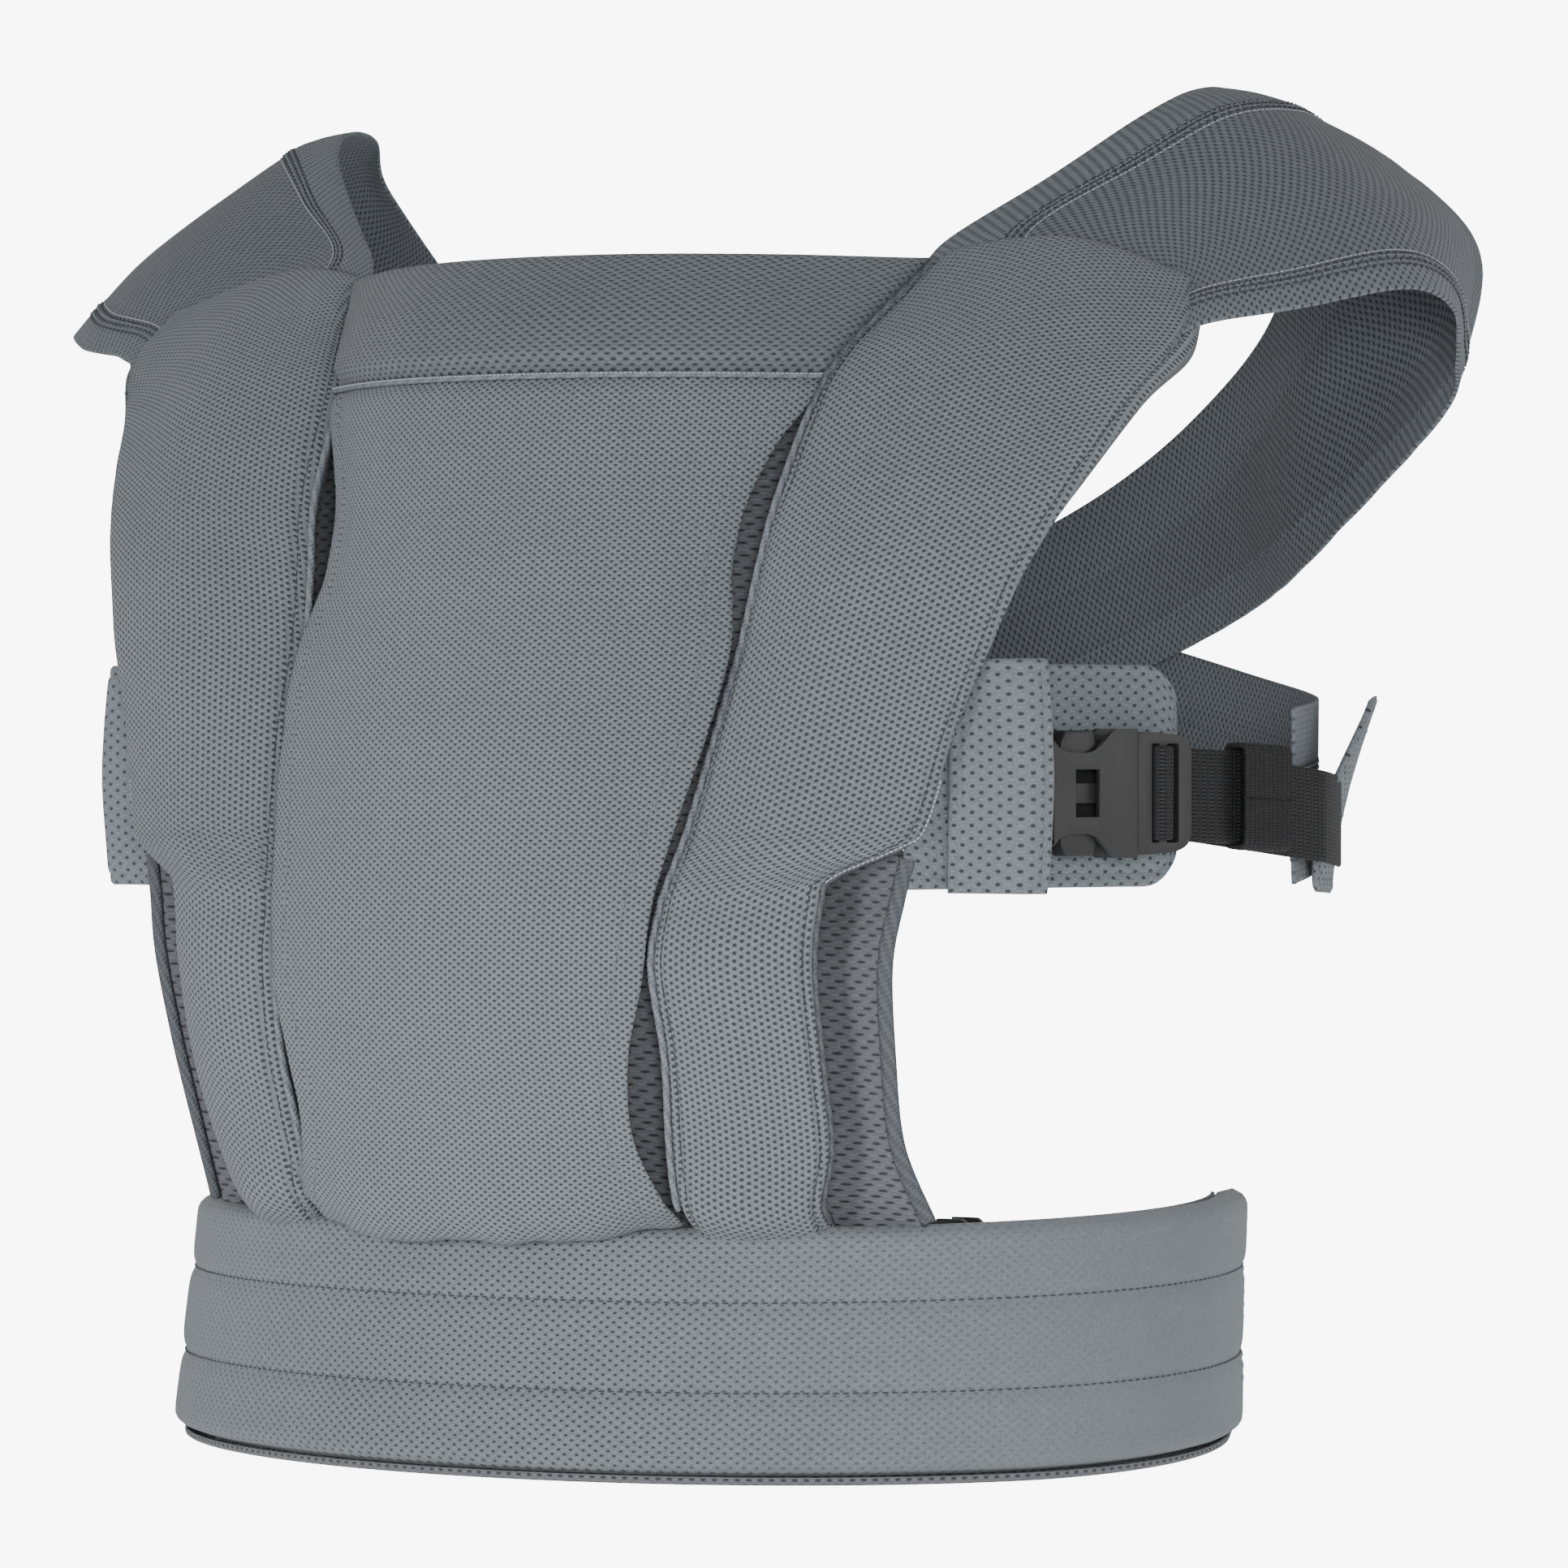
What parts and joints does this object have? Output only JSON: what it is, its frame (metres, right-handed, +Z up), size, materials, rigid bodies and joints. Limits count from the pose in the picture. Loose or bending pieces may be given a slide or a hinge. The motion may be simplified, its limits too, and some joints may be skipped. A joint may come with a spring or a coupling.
{
  "type": "soft baby carrier",
  "caption": "Front-worn soft baby carrier with quilted waistband, mesh front panel, folding head support, padded straps and wide wrap straps crossing behind to side buckles.",
  "frame": {"origin": "centre of the bounding box in X and Y, at the lowest edge of the waistband", "axes": "+Z up from waistband to shoulders, -Y out of the front panel, +X towards the wearer's left"},
  "size_m": [0.4384, 0.2944, 0.3748],
  "materials": {
    "main_fabric": "blue-grey knitted polyester air mesh, matt",
    "dark_mesh": "open dark grey spacer mesh, matt",
    "piping": "folded bias binding, matt",
    "foam": "cut polyurethane foam",
    "webbing": "woven polyester webbing",
    "elastic": "ribbed knitted elastic",
    "buckle_plastic": "fine textured black acetal"
  },
  "bodies": {
    "carrier": {"waistband_outer": "main_fabric", "waistband_foam": "foam", "waistband_lining": "dark_mesh", "waist_belt_left": "main_fabric", "waist_belt_right": "main_fabric", "waist_webbing_left": "webbing", "waist_buckle_female": "buckle_plastic", "seat_panel": "dark_mesh", "thigh_binding_left": "piping", "thigh_binding_right": "piping", "front_panel": "main_fabric", "strap_cover_left": "main_fabric", "strap_cover_right": "main_fabric", "strap_foam_left": "foam", "strap_foam_right": "foam", "strap_lining_left": "dark_mesh", "strap_lining_right": "dark_mesh", "strap_binding_left": "piping", "strap_binding_right": "piping", "wrap_strap_left": "main_fabric", "wrap_strap_right": "main_fabric", "wing_pad_left": "main_fabric", "wing_pad_right": "main_fabric", "wing_flap_left": "main_fabric", "wing_flap_right": "main_fabric", "anchor_webbing_left": "webbing", "anchor_webbing_right": "webbing", "side_buckle_female_left": "buckle_plastic", "side_buckle_female_right": "buckle_plastic"},
    "head_support": {"head_support": "main_fabric", "head_support_lining": "dark_mesh"},
    "waist_release": {"waist_buckle_male": "buckle_plastic", "waist_webbing_right": "webbing"},
    "waist_prong_upper": {"waist_prong_upper": "buckle_plastic"},
    "waist_prong_lower": {"waist_prong_lower": "buckle_plastic"},
    "waist_keeper": {"waist_keeper": "elastic"},
    "strap_release_left": {"side_buckle_male_left": "buckle_plastic", "side_webbing_left": "webbing", "strap_end_left": "main_fabric"},
    "prong_upper_left": {"side_prong_upper_left": "buckle_plastic"},
    "prong_lower_left": {"side_prong_lower_left": "buckle_plastic"},
    "keeper_left": {"webbing_keeper_left": "elastic"},
    "strap_release_right": {"side_buckle_male_right": "buckle_plastic", "side_webbing_right": "webbing", "strap_end_right": "main_fabric"},
    "prong_upper_right": {"side_prong_upper_right": "buckle_plastic"},
    "prong_lower_right": {"side_prong_lower_right": "buckle_plastic"},
    "keeper_right": {"webbing_keeper_right": "elastic"}
  },
  "joints": [
    {"name": "head_support_fold", "type": "hinge", "parent": "carrier", "child": "head_support", "pos_m": [0, -0.1085, 0.2935], "axis": [1, 0, 0], "range_deg": [0, 120]},
    {"name": "strap_release_left", "type": "slide", "parent": "carrier", "child": "strap_release_left", "axis": [0.3907, 0.9205, 0], "range_m": [0, 0.028]},
    {"name": "prong_upper_left", "type": "hinge", "parent": "strap_release_left", "child": "prong_upper_left", "pos_m": [0.15386, -0.04269, 0.1897], "axis": [0.9205, -0.3907, 0], "range_deg": [0, 6], "stiffness_Nm_per_rad": 0.2},
    {"name": "prong_lower_left", "type": "hinge", "parent": "strap_release_left", "child": "prong_lower_left", "pos_m": [0.15386, -0.04269, 0.1723], "axis": [-0.9205, 0.3907, 0], "range_deg": [0, 6], "stiffness_Nm_per_rad": 0.2},
    {"name": "keeper_slide_left", "type": "slide", "parent": "strap_release_left", "child": "keeper_left", "axis": [0.3907, 0.9205, 0], "range_m": [-0.016, 0.002]},
    {"name": "strap_release_right", "type": "slide", "parent": "carrier", "child": "strap_release_right", "axis": [-0.3907, 0.9205, 0], "range_m": [0, 0.028]},
    {"name": "prong_upper_right", "type": "hinge", "parent": "strap_release_right", "child": "prong_upper_right", "pos_m": [-0.15386, -0.04269, 0.1897], "axis": [0.9205, 0.3907, 0], "range_deg": [0, 6], "stiffness_Nm_per_rad": 0.2},
    {"name": "prong_lower_right", "type": "hinge", "parent": "strap_release_right", "child": "prong_lower_right", "pos_m": [-0.15386, -0.04269, 0.1723], "axis": [-0.9205, -0.3907, 0], "range_deg": [0, 6], "stiffness_Nm_per_rad": 0.2},
    {"name": "keeper_slide_right", "type": "slide", "parent": "strap_release_right", "child": "keeper_right", "axis": [-0.3907, 0.9205, 0], "range_m": [-0.016, 0.002]},
    {"name": "waist_release", "type": "slide", "parent": "carrier", "child": "waist_release", "axis": [-1, 0, 0], "range_m": [0, 0.034]},
    {"name": "waist_prong_upper", "type": "hinge", "parent": "waist_release", "child": "waist_prong_upper", "pos_m": [0, 0.1385, 0.0457], "axis": [0, 1, 0], "range_deg": [0, 6], "stiffness_Nm_per_rad": 0.2},
    {"name": "waist_prong_lower", "type": "hinge", "parent": "waist_release", "child": "waist_prong_lower", "pos_m": [0, 0.1385, 0.0153], "axis": [0, -1, 0], "range_deg": [0, 6], "stiffness_Nm_per_rad": 0.2},
    {"name": "waist_keeper_slide", "type": "slide", "parent": "waist_release", "child": "waist_keeper", "axis": [-1, 0, 0], "range_m": [-0.016, 0.002]}
  ],
  "couplings": [
    {"joint": "prong_lower_left", "follows": "prong_upper_left", "ratio": 1},
    {"joint": "prong_lower_right", "follows": "prong_upper_right", "ratio": 1},
    {"joint": "waist_prong_lower", "follows": "waist_prong_upper", "ratio": 1}
  ]
}
